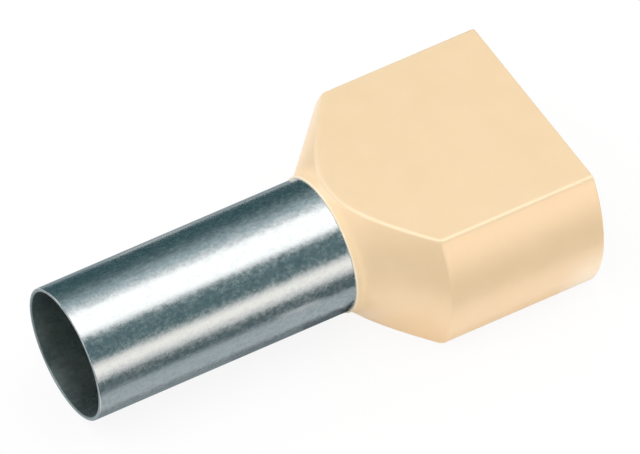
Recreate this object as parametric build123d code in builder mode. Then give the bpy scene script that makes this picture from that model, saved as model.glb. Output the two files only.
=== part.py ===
"""Twin wire ferrule: a tinned copper sleeve pressed into a moulded plastic collar.

Two insulated wires lie side by side in the collar. Their bared strands run through the
collar's funnel into the one round sleeve, which is then crimped and clamped in a terminal.

X is the ferrule's axis. The origin is on that axis where the sleeve leaves the collar's
front lip: the sleeve points to -X and the wires enter from +X. Z is normal to the
collar's two flats, and the wires lie side by side along Y. Sizes are in millimetres.
"""

import os
from math import radians, tan

from build123d import *

# Sleeve: a cut length of thin drawn tube
sleeve_bore = 6.5
sleeve_wall = 0.2
sleeve_reach = 14.0  # what shows in front of the collar
mouth_edge_radius = 0.06  # tumbled edges of the open mouth

# Seat of the sleeve in the collar, with the moulding's draft
seat_depth = 1.2
seat_draft = 1.5  # degrees

# Collar, outside: a turned form with a lip, a cone and a drum, cut by two flats
collar_length = 11.9
drum_diameter = 13.45  # across the two round sides
cone_half_angle = 46.0  # degrees
lip_length = 0.38
lip_skin = 0.06  # plastic round the sleeve at the front of the lip
lip_draft = 4.0  # degrees
flat_skin = 0.18  # plastic over the sleeve at each flat
crease_radius = 0.25  # where the cone turns into the drum
edge_radius = 0.1  # round the flats and the rear rim

# Collar, inside: a hollow for both wires, then a funnel down to the sleeve
collar_wall = 0.35
funnel_half_angle = 45.0  # degrees
hollow_corner_radius = 0.4  # along the hollow, where its flats meet its round sides
entry_chamfer = 0.15  # lead-in round the wire entry

sleeve_inner_radius = sleeve_bore / 2
sleeve_outer_radius = sleeve_inner_radius + sleeve_wall
seated_end_radius = sleeve_outer_radius - seat_depth * tan(radians(seat_draft))
collar_height = 2 * (sleeve_outer_radius + flat_skin)
drum_radius = drum_diameter / 2
hollow_radius = drum_radius - collar_wall
hollow_height = collar_height - 2 * collar_wall


# Metal sleeve, with its seated end pressed to the draft of the seat
with BuildPart() as metal_sleeve:
    with BuildSketch(Plane.XZ) as sleeve_section:
        with BuildLine():
            Polyline(
                (-sleeve_reach, sleeve_inner_radius),
                (seat_depth, sleeve_inner_radius),
                (seat_depth, seated_end_radius),
                (0, sleeve_outer_radius),
                (-sleeve_reach, sleeve_outer_radius),
                close=True,
            )
        make_face()
        mouth_corners = sleeve_section.vertices().group_by(Axis.X)[0]
        fillet(mouth_corners, mouth_edge_radius)
    revolve(axis=Axis.X)
metal_sleeve.part.label = "metal_sleeve"


# Moulding core: the shape of the collar's hollow, from the sleeve's end to the rear
with BuildPart() as core:
    funnel_end = seat_depth + (hollow_radius - sleeve_inner_radius) / tan(radians(funnel_half_angle))
    with BuildSketch(Plane.XZ) as core_profile:
        with BuildLine():
            Polyline(
                (seat_depth, 0),
                (seat_depth, sleeve_inner_radius),
                (funnel_end, hollow_radius),
                (collar_length, hollow_radius),
                (collar_length, 0),
                close=True,
            )
        make_face()
        funnel_crease = core_profile.vertices().group_by(Axis.Y)[-1].sort_by(Axis.X)[0]
        fillet(funnel_crease, crease_radius)
    revolve(axis=Axis.X)
    with BuildSketch(Plane.YZ.offset(seat_depth)) as core_section:
        Circle(hollow_radius)
        Rectangle(2 * hollow_radius, hollow_height, mode=Mode.INTERSECT)
        fillet(core_section.vertices(), hollow_corner_radius)
    extrude(amount=collar_length - seat_depth, mode=Mode.INTERSECT)


# Plastic collar
with BuildPart() as plastic_collar:
    lip_front_radius = sleeve_outer_radius + lip_skin
    lip_rear_radius = lip_front_radius + lip_length * tan(radians(lip_draft))
    cone_end = lip_length + (drum_radius - lip_rear_radius) / tan(radians(cone_half_angle))
    with BuildSketch(Plane.XZ) as collar_profile:
        with BuildLine():
            Polyline(
                (0, 0),
                (0, lip_front_radius),
                (lip_length, lip_rear_radius),
                (cone_end, drum_radius),
                (collar_length, drum_radius),
                (collar_length, 0),
                close=True,
            )
        make_face()
        cone_crease = collar_profile.vertices().group_by(Axis.Y)[-1].sort_by(Axis.X)[0]
        fillet(cone_crease, crease_radius)
    revolve(axis=Axis.X)
    with BuildSketch(Plane.YZ):
        Rectangle(drum_diameter, collar_height)
    extrude(amount=collar_length, mode=Mode.INTERSECT)

    flats = plastic_collar.faces().filter_by(GeomType.PLANE).filter_by(Axis.Z)
    rear = plastic_collar.faces().sort_by(Axis.X)[-1]
    fillet(flats.edges() + rear.edges(), edge_radius)

    with BuildSketch(Plane.XZ):
        with BuildLine():
            Polyline(
                (0, 0),
                (0, sleeve_outer_radius),
                (seat_depth, seated_end_radius),
                (seat_depth, 0),
                close=True,
            )
        make_face()
    revolve(axis=Axis.X, mode=Mode.SUBTRACT)
    add(core.part, mode=Mode.SUBTRACT)

    entry_edges = plastic_collar.faces().sort_by(Axis.X)[-1].inner_wires()[0].edges()
    chamfer(entry_edges, entry_chamfer)
plastic_collar.part.label = "plastic_collar"


os.makedirs("parts", exist_ok=True)
export_step(metal_sleeve.part, "parts/metal_sleeve.step")
export_step(plastic_collar.part, "parts/plastic_collar.step")
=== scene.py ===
"""A twin wire ferrule on a white table: a tinned sleeve in an ivory collar for two wires."""

from math import atan2, cos, hypot, pi, radians, sin, sqrt, tan

import bmesh
import bpy
from mathutils import Matrix, Vector


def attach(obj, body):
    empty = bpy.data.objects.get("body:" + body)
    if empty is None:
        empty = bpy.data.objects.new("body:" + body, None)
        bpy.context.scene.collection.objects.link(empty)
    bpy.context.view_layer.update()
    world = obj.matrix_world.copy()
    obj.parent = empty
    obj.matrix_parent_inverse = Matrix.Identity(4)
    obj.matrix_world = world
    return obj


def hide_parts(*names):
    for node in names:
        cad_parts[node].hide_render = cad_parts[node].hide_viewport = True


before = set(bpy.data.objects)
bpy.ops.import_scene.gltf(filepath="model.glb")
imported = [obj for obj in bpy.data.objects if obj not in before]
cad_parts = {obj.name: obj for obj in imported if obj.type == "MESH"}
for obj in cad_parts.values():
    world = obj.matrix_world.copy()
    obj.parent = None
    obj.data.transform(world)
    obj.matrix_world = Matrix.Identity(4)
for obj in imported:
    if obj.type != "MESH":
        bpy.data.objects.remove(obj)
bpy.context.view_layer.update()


# Metal sleeve: a cut length of thin drawn copper tube, tinned all over after it was cut
# and tumbled. Its seated end is pressed into the collar's tapered seat, and the bared
# strands of both wires fill it. Its mouth is cut slightly out of square.

MM = 0.001
sleeve_bore = 6.5 * MM
sleeve_wall = 0.2 * MM
sleeve_radius = sleeve_bore / 2 + sleeve_wall
sleeve_reach = 14.0 * MM  # in front of the collar
seat_depth = 1.2 * MM
seat_draft = radians(1.5)
seat_taper = seat_depth * tan(seat_draft)
mouth_edge_radius = 0.06 * MM
cut_lean = 0.24 * MM  # how much further the mouth reaches out on one side than on the other
lean_turned = radians(10)  # where that side is, from the top towards the near side
tube_facets, mouth_edge_steps = 288, 6
wall_steps = 14  # along the wall in front of the collar
sharp_turn = radians(32)  # edges that turn more than this stay sharp
tin_dark = (0.485, 0.507, 0.517)
tin_light = (0.65, 0.667, 0.663)
tin_in_bore = (0.31, 0.37, 0.36)
skin_depth = 0.001 * MM  # of one unit of a finish's bump


class Tree:
    """A node tree, for a shape or a finish, written one node at a time."""

    def __init__(self, tree):
        self.tree = tree
        tree.nodes.clear()

    def node(self, kind, settings={}, sockets={}, out=0):
        made = self.tree.nodes.new(kind)
        for name, value in settings.items():
            setattr(made, name, value)
        for name, value in sockets.items():
            if isinstance(value, Value):
                self.tree.links.new(value.socket, made.inputs[name])
            else:
                made.inputs[name].default_value = value
        return Value(self, made.outputs[out]) if made.outputs else made

    def maths(self, operation, *terms):
        return self.node("ShaderNodeMath", {"operation": operation}, dict(enumerate(terms)))


class Value:
    """One output in a tree. Sums written with it become its Math nodes."""

    def __init__(self, tree, socket):
        self.tree = tree
        self.socket = socket

    def output(self, name):
        """Another output of the same node."""
        return Value(self.tree, self.socket.node.outputs[name])

    def __add__(self, other):
        return self.tree.maths("ADD", self, other)

    def __radd__(self, other):
        return self.tree.maths("ADD", other, self)

    def __sub__(self, other):
        return self.tree.maths("SUBTRACT", self, other)

    def __rsub__(self, other):
        return self.tree.maths("SUBTRACT", other, self)

    def __mul__(self, other):
        return self.tree.maths("MULTIPLY", self, other)

    def __rmul__(self, other):
        return self.tree.maths("MULTIPLY", other, self)

    def __truediv__(self, other):
        return self.tree.maths("DIVIDE", self, other)

    def __pow__(self, other):
        return self.tree.maths("POWER", self, other)

    def __gt__(self, other):
        return self.tree.maths("GREATER_THAN", self, other)

    def rise(self, low, high):
        """0 below low, 1 above high and a smooth rise between them."""
        kind = "ShaderNodeMapRange"
        span = {"Value": self, "From Min": low, "From Max": high}
        return self.tree.node(kind, {"interpolation_type": "SMOOTHSTEP"}, span)


def new_finish(name):
    """A material and the tree that its look is written in."""
    finish = bpy.data.materials.new(name)
    finish.use_nodes = True
    return finish, Tree(finish.node_tree)


def in_mm(tree, along=1.0):
    """A point's place on the piece in millimetres, with X scaled by so much."""
    place = tree.node("ShaderNodeTexCoord", out="Object")
    scale = (along / MM, 1 / MM, 1 / MM)
    return tree.node("ShaderNodeMapping", {}, {"Vector": place, "Scale": scale})


def grain(tree, where, scale, detail=3.0, roughness=0.55):
    """Cloudy grain, so many to the millimetre, that averages a half."""
    sizes = {"Vector": where, "Scale": scale, "Detail": detail, "Roughness": roughness}
    return tree.node("ShaderNodeTexNoise", {}, sizes)


def mixed(tree, share, first, second):
    """The first colour with so much of the second in it."""
    sockets = {"Factor": share, "A": first, "B": second}
    for name in "AB":
        if isinstance(sockets[name], tuple):
            sockets[name] = (*sockets[name], 1)
    return tree.node("ShaderNodeMix", {"data_type": "RGBA"}, sockets, out=2)


def bumps(tree, height):
    """Tiny bumps in the surface, for its reflections."""
    sockets = {"Strength": 1.0, "Distance": skin_depth, "Height": height}
    return tree.node("ShaderNodeBump", {}, sockets)


def plain_mesh(piece, name):
    """Makes the piece's modifiers real, in a mesh of this name."""
    bpy.context.view_layer.update()
    shown = piece.evaluated_get(bpy.context.evaluated_depsgraph_get())
    mesh = bpy.data.meshes.new_from_object(shown)
    mesh.name = name
    piece.modifiers.clear()
    piece.data = mesh


def fair_normals(piece, name):
    """Sharp edges stay sharp, and broad faces keep their light up to their roundings."""
    piece.data.shade_smooth()
    piece.data.set_sharp_from_angle(angle=sharp_turn)
    weighted = piece.modifiers.new("broad faces first", "WEIGHTED_NORMAL")
    weighted.keep_sharp = True
    weighted.weight = 80
    plain_mesh(piece, name)


def blank(name, points, edges=(), faces=()):
    """A new object at the origin, with a mesh of its own."""
    mesh = bpy.data.meshes.new(name)
    mesh.from_pydata(points, edges, faces)
    piece = bpy.data.objects.new(name, mesh)
    bpy.context.scene.collection.objects.link(piece)
    return piece


# The tinning has a fine grain, drawn out a little along the tube, and a few dull spots.
tin_finish, tin = new_finish("tinned copper")
drawn_out = in_mm(tin, 0.85)
fine = grain(tin, drawn_out, 5.5, 3.0, 0.65)
mottle = grain(tin, drawn_out, 2.7, 3.0, 0.6)
cloud = grain(tin, drawn_out, 0.9, 2.0)
tin_place = in_mm(tin)
spots = grain(tin, tin_place, 3.4, 1.0).rise(0.72, 0.8)
tin_axes = tin.node("ShaderNodeSeparateXYZ", {}, {"Vector": tin_place})
tin_up, tin_across = tin_axes.output("Z"), tin_axes.output("Y")
from_axis = (tin_up * tin_up + tin_across * tin_across) ** 0.5
bore_mm = sleeve_bore / 2 / MM
inside = 1 - from_axis.rise(bore_mm + 0.02, bore_mm + 0.08)
tone = (fine * 0.6 + mottle * 0.3 + cloud * 0.1).rise(0.34, 0.66)
tin_tint = mixed(tin, tone - spots * 0.3, tin_dark, tin_light)
metal = tin.node(
    "ShaderNodeBsdfPrincipled",
    {},
    {
        "Base Color": mixed(tin, inside, tin_tint, tin_in_bore),
        "Metallic": 1.0,
        "Roughness": 0.18 + 0.11 * tone + 0.2 * inside,
        "Normal": bumps(tin, fine * 1.1 + mottle * 2.2 + cloud * 3),
    },
)
tin.node("ShaderNodeOutputMaterial", {}, {"Surface": metal})

# The wall's section, as (out from the bore, forward of the collar), is swept round the bore.
stations = [sleeve_reach * step / wall_steps for step in range(wall_steps + 1)]
wall_section = [(sleeve_wall - seat_taper, -seat_depth)]
wall_section += [(sleeve_wall, station) for station in stations]
wall_section += [(0, station) for station in reversed(stations)]
wall_section += [(0, -seat_depth)]
metal_sleeve = blank(
    "metal_sleeve_tube",
    [(out, forward, 0) for out, forward in wall_section],
    [(k, (k + 1) % len(wall_section)) for k in range(len(wall_section))],
)

drawing = bpy.data.node_groups.new("drawn tube", "GeometryNodeTree")
sweep = Tree(drawing)
drawing.interface.new_socket("Wall section", in_out="INPUT", socket_type="NodeSocketGeometry")
inputs = {
    "Bore radius": sleeve_bore / 2,
    "Tube radius": sleeve_radius,
    "Facets": tube_facets,
    "Mouth at": sleeve_reach,
    "Mouth edge radius": mouth_edge_radius,
    "Cut lean": cut_lean,
    "Lean turned": lean_turned,
}
for title, value in inputs.items():
    kind = "NodeSocketInt" if isinstance(value, int) else "NodeSocketFloat"
    drawing.interface.new_socket(title, in_out="INPUT", socket_type=kind)
drawing.interface.new_socket("Tube", in_out="OUTPUT", socket_type="NodeSocketGeometry")
given = sweep.node("NodeGroupInput")
where = sweep.node("GeometryNodeInputPosition")

# The section's two corners at the mouth are rounded before it is swept.
forward = sweep.node("ShaderNodeSeparateXYZ", {}, {"Vector": where}, out="Y")
at_mouth = forward > given.output("Mouth at") - given.output("Mouth edge radius")
wall = sweep.node("GeometryNodeMeshToCurve", {}, {"Mesh": given.output("Wall section")})
wall = sweep.node(
    "GeometryNodeFilletCurve",
    {"mode": "POLY"},
    {
        "Curve": wall,
        "Count": mouth_edge_steps,
        "Radius": given.output("Mouth edge radius") * at_mouth,
    },
)
ring = sweep.node(
    "GeometryNodeCurvePrimitiveCircle",
    {"mode": "RADIUS"},
    {"Resolution": given.output("Facets"), "Radius": given.output("Bore radius")},
)
tube = sweep.node("GeometryNodeCurveToMesh", {}, {"Curve": ring, "Profile Curve": wall})
tube = sweep.node(
    "GeometryNodeTransform", {}, {"Geometry": tube, "Rotation": (0, radians(90), 0)}
)

# The cut leans: each point moves forward by its place along and across the tube.
spot = sweep.node("ShaderNodeSeparateXYZ", {}, {"Vector": where})
lean_angle = given.output("Lean turned")
upwards = spot.output("Z") * sweep.maths("COSINE", lean_angle)
rising = upwards - spot.output("Y") * sweep.maths("SINE", lean_angle)
lean = (1 + rising / given.output("Tube radius")) / 2 * given.output("Cut lean")
ahead = sweep.maths("MINIMUM", spot.output("X"), 0) / given.output("Mouth at")
shift = sweep.node("ShaderNodeCombineXYZ", {}, {"X": ahead * lean})
tube = sweep.node("GeometryNodeSetPosition", {}, {"Geometry": tube, "Offset": shift})
tube = sweep.node("GeometryNodeRealizeInstances", {}, {"Geometry": tube})
tube = sweep.node("GeometryNodeSetMaterial", {}, {"Geometry": tube, "Material": tin_finish})
sweep.node("NodeGroupOutput", {}, {"Tube": tube})
drawn = metal_sleeve.modifiers.new("drawn tube", "NODES")
drawn.node_group = drawing
for item in drawing.interface.items_tree:
    if item.in_out == "INPUT" and item.name in inputs:
        drawn[item.identifier] = inputs[item.name]
plain_mesh(metal_sleeve, "metal_sleeve_tube")
fair_normals(metal_sleeve, "metal_sleeve_tube")
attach(metal_sleeve, "root")
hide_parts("metal_sleeve")


# Plastic collar: one ivory polypropylene moulding, pressed on the sleeve's end. It is a
# turned lip, cone and drum cut by two flats, hollow behind for two wires, with a funnel
# down to the sleeve.

collar_length = 11.9 * MM
drum_radius = 6.725 * MM
flat_height = 3.63 * MM  # of each flat from the axis
lip_length = 0.38 * MM
lip_rear = sleeve_radius + 0.0866 * MM  # the lip's radius where the cone starts
lip_sweep = 0.1 * MM  # how softly the lip runs into the cone
lip_edge = 0.05 * MM
cone_slope = tan(radians(46))  # how far out it goes for its length
collar_wall = 0.35 * MM
hollow_corner = 0.4 * MM
entry_chamfer = 0.15 * MM
rim_radius = 0.1 * MM  # round the rear rim
edge_radius = 0.28 * MM  # along the flats' sides
front_radius = 0.21 * MM  # along the flats' curved fronts
crease_radius = 0.25 * MM  # where the cone turns into the drum
crease_from, crease_whole = 0.99, 0.93  # heights at which the crease's radius takes over
round_facets, corner_facets, flat_facets = 44, 6, 60
lip_steps, cone_steps, rim_steps, edge_steps = 4, 10, 6, 6
crowding = 2.5  # of the cone's loops towards the lip, where its outline bends
ivory_deep = (0.86625, 0.65798, 0.3939)
ivory_pale = (0.88375, 0.67802, 0.4141)
# The pale ivory below is painted light, not the plastic's own colour: a painted glow at thin
# edges and a painted highlight along the flats' fronts.
ivory_painted_light = (0.98, 0.88, 0.7)  # where light comes through a thin edge


def cut_circle(radius, height, corner):
    """A circle cut by a flat above and below, corners rounded, as (across, up) points."""
    heart = sqrt((radius - corner) ** 2 - (height - corner) ** 2)
    turn = atan2(height - corner, heart)
    side = []
    for k in range(round_facets):
        angle = turn * (2 * k / round_facets - 1)
        side.append((radius * cos(angle), radius * sin(angle)))
    top = []
    for k in range(corner_facets):
        angle = turn + (pi / 2 - turn) * k / corner_facets
        top.append((heart + corner * cos(angle), height - corner + corner * sin(angle)))
    start = atan2(height, heart)
    for k in range(flat_facets):
        angle = start + (pi - 2 * start) * k / flat_facets
        top.append((height / tan(angle), height))
    top += [(-across, up) for across, up in top[corner_facets::-1]]
    half = side + top[:-1]
    return half + [(-across, -up) for across, up in half]


def circle_under(section, radius):
    """A circle with its points in line with the section's, seen from the axis."""
    return [
        (across * radius / hypot(across, up), up * radius / hypot(across, up))
        for across, up in section
    ]


def turned_at(radius):
    """How far behind the lip's front the turned outside has this radius.

    The lip runs into the cone in a hollow sweep, which is a branch of a hyperbola.
    """
    out = (radius - lip_rear) / cone_slope
    return lip_length + out - lip_sweep**2 / (4 * out)


outer = cut_circle(drum_radius, flat_height, edge_radius)
hollow = (drum_radius - collar_wall, flat_height - collar_wall, hollow_corner)
inner = cut_circle(*hollow)
loops = []  # each closed loop of points, from the lip back over the outside and in again

# The lip's rounded front edge ends where its outline has the radius lip_front.
lip_side = lip_length - lip_edge
lip_front = lip_rear + cone_slope * (sqrt(lip_side**2 + lip_sweep**2) - lip_side) / 2
for k in range(lip_steps):
    turn = pi / 2 * (1 - k / lip_steps)
    around = circle_under(outer, lip_front - lip_edge * (1 - cos(turn)))
    loops.append([(lip_edge * (1 - sin(turn)), *point) for point in around])
for k in range(cone_steps + 1):
    loop = []
    for across, up in outer:
        radius = hypot(across, up)
        here = lip_front + (radius - lip_front) * (k / cone_steps) ** crowding
        loop.append((turned_at(here), across * here / radius, up * here / radius))
    loops.append(loop)
cone_edge = len(loops) - 1
for k in range(rim_steps + 1):
    turn = pi / 2 * k / rim_steps
    inset = rim_radius * (1 - cos(turn))
    behind = collar_length - rim_radius * (1 - sin(turn))
    rim = cut_circle(drum_radius - inset, flat_height - inset, edge_radius - inset)
    loops.append([(behind, *point) for point in rim])

# Inside: the chamfered entry, the hollow, the funnel, the shelf and the sleeve's seat.
entry = cut_circle(*(size + entry_chamfer for size in hollow))
seat_end = circle_under(inner, sleeve_radius - seat_taper)
loops.append([(collar_length, *point) for point in entry])
loops.append([(collar_length - entry_chamfer, *point) for point in inner])
loops.append([(seat_depth + hypot(*point) - sleeve_bore / 2, *point) for point in inner])
loops.append([(seat_depth, *point) for point in circle_under(inner, sleeve_bore / 2)])
loops.append([(seat_depth, *point) for point in seat_end])
loops.append([(0, *point) for point in circle_under(inner, sleeve_radius)])

count = len(outer)
faces = []
for row in range(len(loops)):
    this, after = row * count, (row + 1) % len(loops) * count
    for k in range(count):
        n = (k + 1) % count
        faces.append((this + k, this + n, after + n, after + k))
plastic_collar = blank("plastic_collar_moulding", sum(loops, []), faces=faces)

# The edge where the cone ends is rounded: more on the crease, less along the flats' fronts.
edited = bmesh.new()
edited.from_mesh(plastic_collar.data)
edited.verts.ensure_lookup_table()
weights = edited.edges.layers.float.new("bevel_weight_edge")
first = cone_edge * count
for k in range(count):
    ends = edited.verts[first + k], edited.verts[first + (k + 1) % count]
    edge = edited.edges.get(ends)
    height = abs(ends[0].co.z + ends[1].co.z) / 2 / flat_height
    crease = min(1, max(0, (crease_from - height) / (crease_from - crease_whole)))
    radius = front_radius + (crease_radius - front_radius) * crease
    edge[weights] = radius * tan(edge.calc_face_angle() / 2) / edge_radius
bmesh.ops.recalc_face_normals(edited, faces=edited.faces)
edited.to_mesh(plastic_collar.data)
edited.free()
rounding = plastic_collar.modifiers.new("rounded crease and flats", "BEVEL")
rounding.limit_method = "WEIGHT"
rounding.width = edge_radius
rounding.segments = edge_steps
rounding.use_clamp_overlap = False
plain_mesh(plastic_collar, "plastic_collar_moulding")
fair_normals(plastic_collar, "plastic_collar_moulding")

# The ivory is nearly even. A paler ivory is painted in as light: a painted glow where an
# edge is thin enough to let light through, round the lip's front and low on the rear rim,
# and a painted highlight along the flats' curved fronts.
ivory_finish, ivory = new_finish("ivory polypropylene")
ivory_place = in_mm(ivory)
spark = grain(ivory, ivory_place, 11.0, 2.0, 0.5)
haze = grain(ivory, ivory_place, 0.55, 3.0)
evenness = (haze * 0.8 + spark * 0.2).rise(0.3, 0.7)
ivory_axes = ivory.node("ShaderNodeSeparateXYZ", {}, {"Vector": ivory_place})
back, across, high = (ivory_axes.output(name) for name in "XYZ")
rear_mm, flat_mm = collar_length / MM, flat_height / MM
# Painted glow round the lip's front edge.
painted_glow_lip = 1 - back.rise(0.03, 0.07)
# Painted glow low on the rear rim, as if light from behind came through the hollow.
painted_glow_rim = back.rise(rear_mm - 2.5, rear_mm - 0.5) * (1 - high.rise(-2.8, 0.4)) * 0.75
out_by = (across * across + high * high) ** 0.5
turned_radius = ivory.node(
    "ShaderNodeClamp",
    {},
    {
        "Value": lip_rear / MM + (back - lip_length / MM) * cone_slope,
        "Max": drum_radius / MM,
    },
)
# Painted highlight along the flats' curved fronts, which whitens the light line on their
# rounded edges.
by_edge = 1 - (turned_radius - out_by).rise(0.06, 0.2)
on_flat = ivory.maths("ABSOLUTE", high).rise(flat_mm - 0.16, flat_mm - 0.08)
painted_highlight_front = by_edge * on_flat * 0.2
ivory_tint = mixed(ivory, evenness, ivory_deep, ivory_pale)
by_lip = 1 - back.rise(0.35, 0.75)
plastic = ivory.node(
    "ShaderNodeBsdfPrincipled",
    {},
    {
        # Ivory, with the painted glow and the painted highlight mixed into its colour.
        "Base Color": mixed(ivory, painted_glow_lip + painted_glow_rim + painted_highlight_front, ivory_tint, ivory_painted_light),
        "Roughness": 0.3 + 0.08 * spark + 0.06 * haze + 0.3 * by_lip,
        "IOR": 2.05,
        "Specular IOR Level": 1.0,
        "Specular Tint": (1.0, 0.73, 0.58, 1),
        "Sheen Weight": 0.7,
        "Sheen Roughness": 0.3,
        "Sheen Tint": (1, 0.92, 0.78, 1),
        "Subsurface Weight": 0.2,
        "Subsurface Radius": (1.0, 0.65, 0.4),
        "Subsurface Scale": 0.3 * MM,
        "Normal": bumps(ivory, spark * 2.5 + haze * 4),
    },
)
ivory.node("ShaderNodeOutputMaterial", {}, {"Surface": plastic})
plastic_collar.data.materials.append(ivory_finish)
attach(plastic_collar, "root")
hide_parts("plastic_collar")


# Table: a plain white top. The camera and the metal see it as white paper in full light,
# and it keeps the ferrule's own shadow.

table_half = 2000 * MM
table_top = -flat_height - 0.001 * MM
white_share = 0.88  # of what is seen that is plain white, the rest being lit
corners = [(-1, -1), (1, -1), (1, 1), (-1, 1)]
table = blank(
    "table",
    [(x * table_half, y * table_half, table_top) for x, y in corners],
    faces=[(0, 1, 2, 3)],
)


def seen(tree):
    """1 for what the camera, a reflection or clear plastic shows, and 0 for light itself."""
    rays = tree.node("ShaderNodeLightPath")
    kinds = ("Is Camera Ray", "Is Glossy Ray", "Is Transmission Ray")
    camera, glossy, through = (rays.output(kind) for kind in kinds)
    return tree.maths("MAXIMUM", tree.maths("MAXIMUM", camera, glossy), through)


paper_finish, paper = new_finish("white table")
lit = paper.node("ShaderNodeBsdfDiffuse", {}, {"Color": (0.95, 0.95, 0.95, 1)})
white = paper.node("ShaderNodeEmission", {}, {"Color": (1, 1, 1, 1), "Strength": 1.0})
top = paper.node("ShaderNodeMixShader", {}, {0: seen(paper) * white_share, 1: lit, 2: white})
paper.node("ShaderNodeOutputMaterial", {}, {"Surface": top})
table.data.materials.append(paper_finish)


# Light: a long softbox overhead, a low one in front and one behind, in a white tent.
# Dark cards between them draw the dark bands along the metal, and small grey ones shade
# its lower side. Only reflections see the cards.

tent_light = 0.84  # on the ferrule, where the tent that is seen is plain white at 1
strip_length = 320
box_distance, front_box_distance, card_distance = 130, 150, 125
card_top = 119 * MM  # the height at which a graded card has its second colour

tent = bpy.context.scene.world or bpy.data.worlds.new("tent")
bpy.context.scene.world = tent
tent.use_nodes = True
tent.cycles.sampling_method = "NONE"
cloth = Tree(tent.node_tree)
strength = tent_light + seen(cloth) * (1 - tent_light)
air = cloth.node("ShaderNodeBackground", {}, {"Color": (1, 1, 1, 1), "Strength": strength})
cloth.node("ShaderNodeOutputWorld", {}, {"Surface": air})


def softbox(name, middle, along, rise, radiance, colour=(1, 1, 1)):
    """A lamp that faces the ferrule, from its middle and two sides, in millimetres."""
    middle, along, rise = Vector(middle) * MM, Vector(along) * MM, Vector(rise) * MM
    lamp = bpy.data.lights.new(name, "AREA")
    lamp.shape = "RECTANGLE"
    lamp.size, lamp.size_y = along.length, rise.length
    lamp.energy = radiance * pi * lamp.size * lamp.size_y
    lamp.color = colour
    x, y = along.normalized(), rise.normalized()
    if x.cross(y).dot(middle) < 0:
        y = -y
    stand = bpy.data.objects.new(name, lamp)
    facing = Matrix((x, y, x.cross(y))).transposed().to_4x4()
    stand.matrix_world = Matrix.Translation(middle) @ facing
    bpy.context.scene.collection.objects.link(stand)


def across_up(angle, distance):
    """A point so many millimetres from the axis, its angle measured from +Y towards +Z."""
    return distance * cos(radians(angle)), distance * sin(radians(angle))


def strip(start, end, distance):
    """A softbox's middle and sides, where it lies along X between two angles."""
    start, end = (Vector((0, *across_up(angle, distance))) for angle in (start, end))
    return (start + end) / 2, (strip_length, 0, 0), end - start


softbox("softbox overhead", *strip(73.5, 114, box_distance), 0.9)
softbox("softbox in front", *strip(165, 183, front_box_distance), 0.56, (1, 0.89, 0.73))
softbox("softbox behind at the left", (-70, 115, 45), (86, 52, 0), (12, -20, 70), 1.6)


def along_x(sides, start=-200, end=200):
    """The folds of a card that lies along X, through each (across, up) point."""
    return [((start, *side), (end, *side)) for side in sides]


def card(name, folds, colour, top_colour=None, clear_behind=False):
    """A card seen only in reflections, flat from each fold to the next.

    A graded card has its second colour at card_top, and comes to it slowly at first.
    One that is clear behind is seen from its front only.
    """
    points = [[size * MM for size in end] for fold in folds for end in fold]
    flats = [(2 * k, 2 * k + 1, 2 * k + 3, 2 * k + 2) for k in range(len(folds) - 1)]
    made = blank(name, points, faces=flats)
    made.visible_camera = made.visible_diffuse = made.visible_shadow = False
    made.visible_transmission = made.visible_volume_scatter = False
    board_finish, board = new_finish(name)
    place = board.node("ShaderNodeTexCoord", out="Object")
    level = board.node("ShaderNodeSeparateXYZ", {}, {"Vector": place}, out="Z") / card_top
    shade = mixed(board, level**4, colour, top_colour or colour)
    face = board.node("ShaderNodeEmission", {}, {"Color": shade, "Strength": 1.0})
    if clear_behind:
        behind = board.node("ShaderNodeNewGeometry", out="Backfacing")
        clear = board.node("ShaderNodeBsdfTransparent")
        face = board.node("ShaderNodeMixShader", {}, {0: behind, 1: face, 2: clear})
    board.node("ShaderNodeOutputMaterial", {}, {"Surface": face})
    made.data.materials.append(board_finish)


low = -flat_height / MM + 0.05  # just off the table
dark = (0.12, 0.175, 0.19)
dark_at_left = (0.17, 0.24, 0.26)
grey_behind = (0.36, 0.43, 0.46)

# The great cards: one curves up behind, one hangs over the camera, the rest lie in front.
rising_behind = [across_up(angle, box_distance) for angle in (12, 24, 36, 48, 58, 66)]
card(
    "graded card behind",
    along_x([(22, low), (130, low)] + rising_behind),
    (0.055, 0.122, 0.137),
    (0.7, 0.85, 0.9),
)
card(
    "dark card over the camera",
    along_x([across_up(angle, card_distance) for angle in (117, 160)]),
    (0.12, 0.215, 0.235),
)
card("dark card on the table", along_x([(-27, low), (-9.3, low)], -30, 200), dark)
card("dark card at the left", along_x([(-130, low), (-9, low)], -160, -30), dark_at_left)
card(
    "upright card at the left",
    [((-160, -130, low), (-160, -15, low)), ((-160, -130, 24.4), (-160, -15, 24.4))],
    dark_at_left,
)
card(
    "end of the dark card",
    along_x([(-9.3, low), (-7.6, low)], -30, -1.8),
    (0.3, 0.36, 0.38),
)

# Small cards on the near side: beside the sleeve, and upright in front of the lip.
card(
    "grey card beside the sleeve",
    along_x([(-5.6, -1.5), (-3.5, -1.5)], -14, -0.6),
    (0.53, 0.6, 0.63),
)
card(
    "grey card in front of the lip",
    [((0.2, -3.6, low), (0.2, -7.4, low)), ((0.2, -3.6, 0.15), (0.2, -7.4, -2.95))],
    (0.5, 0.57, 0.6),
    clear_behind=True,
)
card(
    "dark card in front of the lip",
    [((0.22, -3.5, low), (0.22, -12, low)), ((0.22, -3.5, 1), (0.22, -12, -1.25))],
    dark,
    clear_behind=True,
)
# A painted shadow: the dark of the shaded nook under the lip, as the metal reflects it.
card(
    "dark card in the nook under the lip",
    [((0.15, -1.5, low), (0.15, -3.6, low)), ((0.15, -1.5, -1.2), (0.15, -3.6, -1.2))],
    (0.05, 0.065, 0.075),
    clear_behind=True,
)

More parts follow.
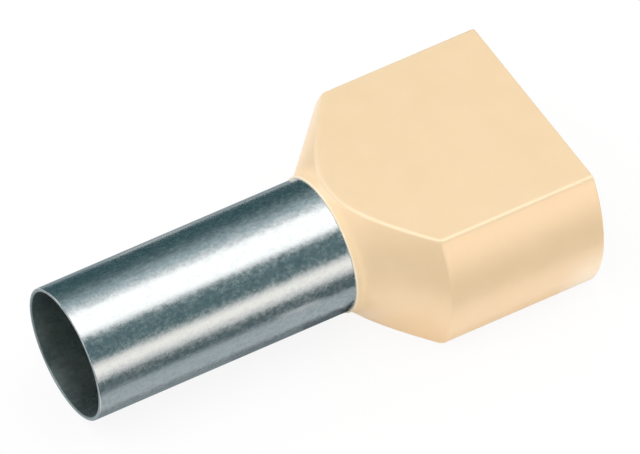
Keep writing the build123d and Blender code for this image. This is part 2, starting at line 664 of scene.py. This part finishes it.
# Small cards on the far side: behind the sleeve, and flat and upright behind the lip.
card("grey card behind the sleeve", along_x([(7, low), (22, low)], -12, -4), grey_behind)
card("grey card behind the lip", along_x([(7, low), (17, low)], -4, 0.2), grey_behind)
card(
    "upright card behind the lip",
    [((0.2, 19.6, low), (0.2, 3.6, low)), ((0.2, 19.6, low + 0.02), (0.2, 3.6, 2.2))],
    grey_behind,
    clear_behind=True,
)

# Small cards on the table: darker step by step towards the lip, a painted shadow of the
# ferrule on the table as the metal reflects it, and ivory by the collar, a painted reflection
# of warm light bounced between the collar and the table.
under_sleeve = [(-3.9, low), (3.4, low)]
card("grey card under the sleeve", along_x(under_sleeve, -14, -6), (0.27, 0.32, 0.34))
card("darker card under the sleeve", along_x(under_sleeve, -6, -2), (0.21, 0.255, 0.275))
card("dark card under the lip", along_x(under_sleeve, -2, 0.15), (0.13, 0.16, 0.18))
card(
    "grey card at the mouth",
    along_x([(-3.6, low), (12, low)], -26, -14),
    (0.45, 0.5, 0.53),
)
card(
    "ivory card under the collar",
    along_x([(-6.3, low), (6.3, low)], 1, 10),
    (0.9, 0.76, 0.58),
)


# Camera: far off and high on the sleeve's side, as the picture was taken. Its long lens
# makes the view nearly parallel, and a slight tilt levels the ferrule as it is there.

picture_width, picture_height = 640, 454
pixels_per_mm = 20.832
azimuth, elevation, tilt = radians(-29.907), radians(47.27), radians(-0.351)
origin_at = (320.16, 244.98)  # the pixel that the collar's front centre falls on
lens, sensor = 1200, 36
away = Vector(
    (sin(azimuth) * cos(elevation), -cos(azimuth) * cos(elevation), sin(elevation))
)
level_right = Vector((cos(azimuth), sin(azimuth), 0))
level_up = away.cross(level_right)
right = level_right * cos(tilt) + level_up * sin(tilt)
up = level_up * cos(tilt) - level_right * sin(tilt)
aside = right * (picture_width / 2 - origin_at[0])
aim = (aside - up * (picture_height / 2 - origin_at[1])) * MM / pixels_per_mm
distance = lens / sensor * picture_width / pixels_per_mm * MM
camera = bpy.data.objects.new("camera", bpy.data.cameras.new("camera"))
camera.data.lens, camera.data.sensor_width = lens, sensor
camera.data.clip_start, camera.data.clip_end = 0.01, 10
turned = Matrix((right, up, away)).transposed().to_4x4()
camera.matrix_world = Matrix.Translation(aim + away * distance) @ turned
bpy.context.scene.collection.objects.link(camera)
bpy.context.scene.camera = camera
bpy.context.scene.view_settings.view_transform = "Standard"
